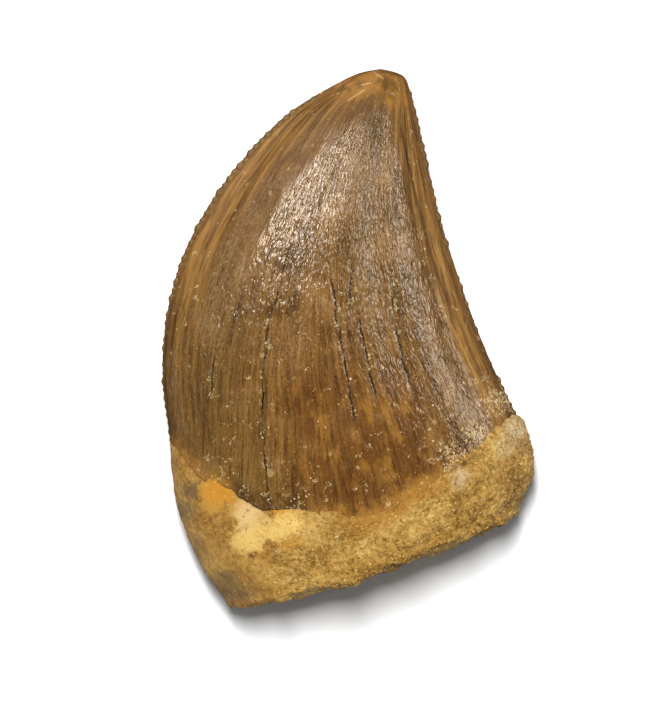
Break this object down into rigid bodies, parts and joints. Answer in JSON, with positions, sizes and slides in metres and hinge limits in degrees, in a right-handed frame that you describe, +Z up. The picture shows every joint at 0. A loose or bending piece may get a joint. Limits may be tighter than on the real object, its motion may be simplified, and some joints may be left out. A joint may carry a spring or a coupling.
{
  "type": "fossil carnosaur tooth",
  "caption": "Fossil carnosaur tooth lying on its inner side: curved enamel crown with serrated edges and a worn tip, on a broken, sandy root stub.",
  "frame": {"origin": "under the middle of the box around the tooth, on the surface that the tooth lies on", "axes": "+Z up, out of the outer side; +Y from the root stub to the tip; +X towards the hollow, rear cutting edge"},
  "size_m": [0.0276, 0.04, 0.0124],
  "materials": {
    "fossil_tooth": "satin"
  },
  "bodies": {
    "root": {"tooth": "fossil_tooth"}
  },
  "joints": []
}
